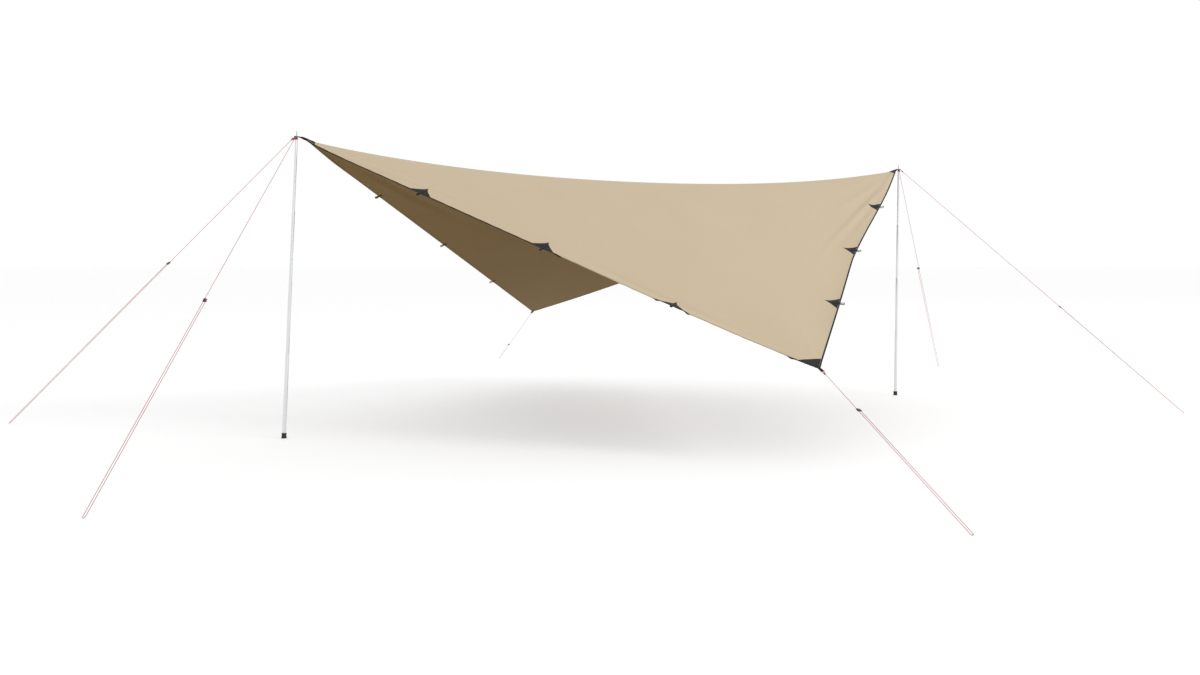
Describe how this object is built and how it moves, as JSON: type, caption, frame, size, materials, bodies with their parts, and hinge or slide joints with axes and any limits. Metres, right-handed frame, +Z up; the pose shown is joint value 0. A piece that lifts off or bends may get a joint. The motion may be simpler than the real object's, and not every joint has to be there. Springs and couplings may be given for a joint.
{
  "type": "camping tarp",
  "caption": "Square tarp pitched as a saddle: opposite corners high on telescopic poles, the others guyed low, with edge loops and sliding line runners.",
  "frame": {"origin": "on the ground, at the middle of the box round the cloth and the poles, without the guy lines and their runners", "axes": "+X along the ridge from the left pole to the right one as seen from the front, +Z up, +Y towards the back corner"},
  "size_m": [9.8434, 9.3922, 2.203],
  "materials": {
    "coated_cloth": "coated woven polyester, sand outside, brown in its own shade underneath",
    "binding_tape": "matt woven tape",
    "webbing": "matt woven webbing and reinforcing cloth",
    "red_cord": "braided cord",
    "black_plastic": "moulded, satin",
    "black_rubber": "moulded, matt",
    "grey_nylon": "moulded, satin",
    "pole_metal": "polished tube",
    "nickelled_brass": "nickel plated",
    "plated_steel": "zinc plated"
  },
  "bodies": {
    "tarp": {"binding_back_left": "binding_tape", "binding_back_right": "binding_tape", "binding_front_left": "binding_tape", "binding_front_right": "binding_tape", "canopy": "coated_cloth", "corner_patch_back": "webbing", "corner_patch_front": "webbing", "corner_patch_left": "webbing", "corner_patch_right": "webbing", "corner_strap_back": "webbing", "corner_strap_front": "webbing", "corner_strap_left": "webbing", "corner_strap_right": "webbing", "edge_tab_back_left_1": "webbing", "edge_tab_back_left_2": "webbing", "edge_tab_back_left_3": "webbing", "edge_tab_back_right_1": "webbing", "edge_tab_back_right_2": "webbing", "edge_tab_back_right_3": "webbing", "edge_tab_front_left_1": "webbing", "edge_tab_front_left_2": "webbing", "edge_tab_front_left_3": "webbing", "edge_tab_front_right_1": "webbing", "edge_tab_front_right_2": "webbing", "edge_tab_front_right_3": "webbing", "eyelet_left": "nickelled_brass", "eyelet_right": "nickelled_brass", "guy_back": "red_cord", "guy_front": "red_cord", "guy_left_back": "red_cord", "guy_left_front": "red_cord", "guy_right_back": "red_cord", "guy_right_front": "red_cord", "left_foot_cap": "black_rubber", "left_lower_tube": "pole_metal", "right_foot_cap": "black_rubber", "right_lower_tube": "pole_metal"},
    "left_lock_1": {"left_expander_1": "grey_nylon"},
    "left_second": {"left_second_tube": "pole_metal"},
    "left_lock_2": {"left_expander_2": "grey_nylon"},
    "left_third": {"left_third_tube": "pole_metal"},
    "left_lock_3": {"left_expander_3": "grey_nylon"},
    "left_top": {"left_top_tube": "pole_metal", "left_tip_plug": "black_plastic", "left_tip_spike": "plated_steel"},
    "right_lock_1": {"right_expander_1": "grey_nylon"},
    "right_second": {"right_second_tube": "pole_metal"},
    "right_lock_2": {"right_expander_2": "grey_nylon"},
    "right_third": {"right_third_tube": "pole_metal"},
    "right_lock_3": {"right_expander_3": "grey_nylon"},
    "right_top": {"right_top_tube": "pole_metal", "right_tip_plug": "black_plastic", "right_tip_spike": "plated_steel"},
    "runner_left_back_body": {"runner_left_back": "black_plastic"},
    "runner_left_front_body": {"runner_left_front": "black_plastic"},
    "runner_front_body": {"runner_front": "black_plastic"},
    "runner_back_body": {"runner_back": "black_plastic"},
    "runner_right_back_body": {"runner_right_back": "black_plastic"},
    "runner_right_front_body": {"runner_right_front": "black_plastic"}
  },
  "joints": [
    {"name": "left_slide_1", "type": "slide", "parent": "tarp", "child": "left_lock_1", "axis": [0.0397, -0.006, 0.9992], "range_m": [-0.45, 0]},
    {"name": "left_twist_1", "type": "hinge", "parent": "left_lock_1", "child": "left_second", "pos_m": [-2.81047, -0.02092, 0.51886], "axis": [0.0397, -0.006, 0.9992], "range_deg": [0, 180]},
    {"name": "left_slide_2", "type": "slide", "parent": "left_second", "child": "left_lock_2", "axis": [0.0397, -0.006, 0.9992], "range_m": [-0.44, 0]},
    {"name": "left_twist_2", "type": "hinge", "parent": "left_lock_2", "child": "left_third", "pos_m": [-2.79009, -0.024, 1.03133], "axis": [0.0397, -0.006, 0.9992], "range_deg": [0, 180]},
    {"name": "left_slide_3", "type": "slide", "parent": "left_third", "child": "left_lock_3", "axis": [0.0397, -0.006, 0.9992], "range_m": [-0.44, 0]},
    {"name": "left_twist_3", "type": "hinge", "parent": "left_lock_3", "child": "left_top", "pos_m": [-2.76972, -0.02708, 1.5438], "axis": [0.0397, -0.006, 0.9992], "range_deg": [0, 180]},
    {"name": "right_slide_1", "type": "slide", "parent": "tarp", "child": "right_lock_1", "axis": [0.0125, -0.007, 0.9999], "range_m": [-0.45, 0]},
    {"name": "right_twist_1", "type": "hinge", "parent": "right_lock_1", "child": "right_second", "pos_m": [2.81237, -0.01939, 0.51705], "axis": [0.0125, -0.007, 0.9999], "range_deg": [0, 180]},
    {"name": "right_slide_2", "type": "slide", "parent": "right_second", "child": "right_lock_2", "axis": [0.0125, -0.007, 0.9999], "range_m": [-0.44, 0]},
    {"name": "right_twist_2", "type": "hinge", "parent": "right_lock_2", "child": "right_third", "pos_m": [2.81876, -0.02294, 1.02771], "axis": [0.0125, -0.007, 0.9999], "range_deg": [0, 180]},
    {"name": "right_slide_3", "type": "slide", "parent": "right_third", "child": "right_lock_3", "axis": [0.0125, -0.007, 0.9999], "range_m": [-0.44, 0]},
    {"name": "right_twist_3", "type": "hinge", "parent": "right_lock_3", "child": "right_top", "pos_m": [2.82515, -0.02649, 1.53836], "axis": [0.0125, -0.007, 0.9999], "range_deg": [0, 180]},
    {"name": "runner_left_back_slide", "type": "slide", "parent": "tarp", "child": "runner_left_back_body", "axis": [0.578, -0.4897, 0.6527], "range_m": [-0.25, 0.25]},
    {"name": "runner_left_front_slide", "type": "slide", "parent": "tarp", "child": "runner_left_front_body", "axis": [0.4099, 0.6102, 0.678], "range_m": [-0.25, 0.25]},
    {"name": "runner_front_slide", "type": "slide", "parent": "tarp", "child": "runner_front_body", "axis": [0.2412, 0.9155, 0.3219], "range_m": [-0.25, 0.25]},
    {"name": "runner_back_slide", "type": "slide", "parent": "tarp", "child": "runner_back_body", "axis": [-0.2202, -0.9438, 0.2465], "range_m": [-0.25, 0.25]},
    {"name": "runner_right_back_slide", "type": "slide", "parent": "tarp", "child": "runner_right_back_body", "axis": [-0.6304, -0.5101, 0.5851], "range_m": [-0.25, 0.25]},
    {"name": "runner_right_front_slide", "type": "slide", "parent": "tarp", "child": "runner_right_front_body", "axis": [-0.4107, 0.6119, 0.6759], "range_m": [-0.25, 0.25]}
  ]
}
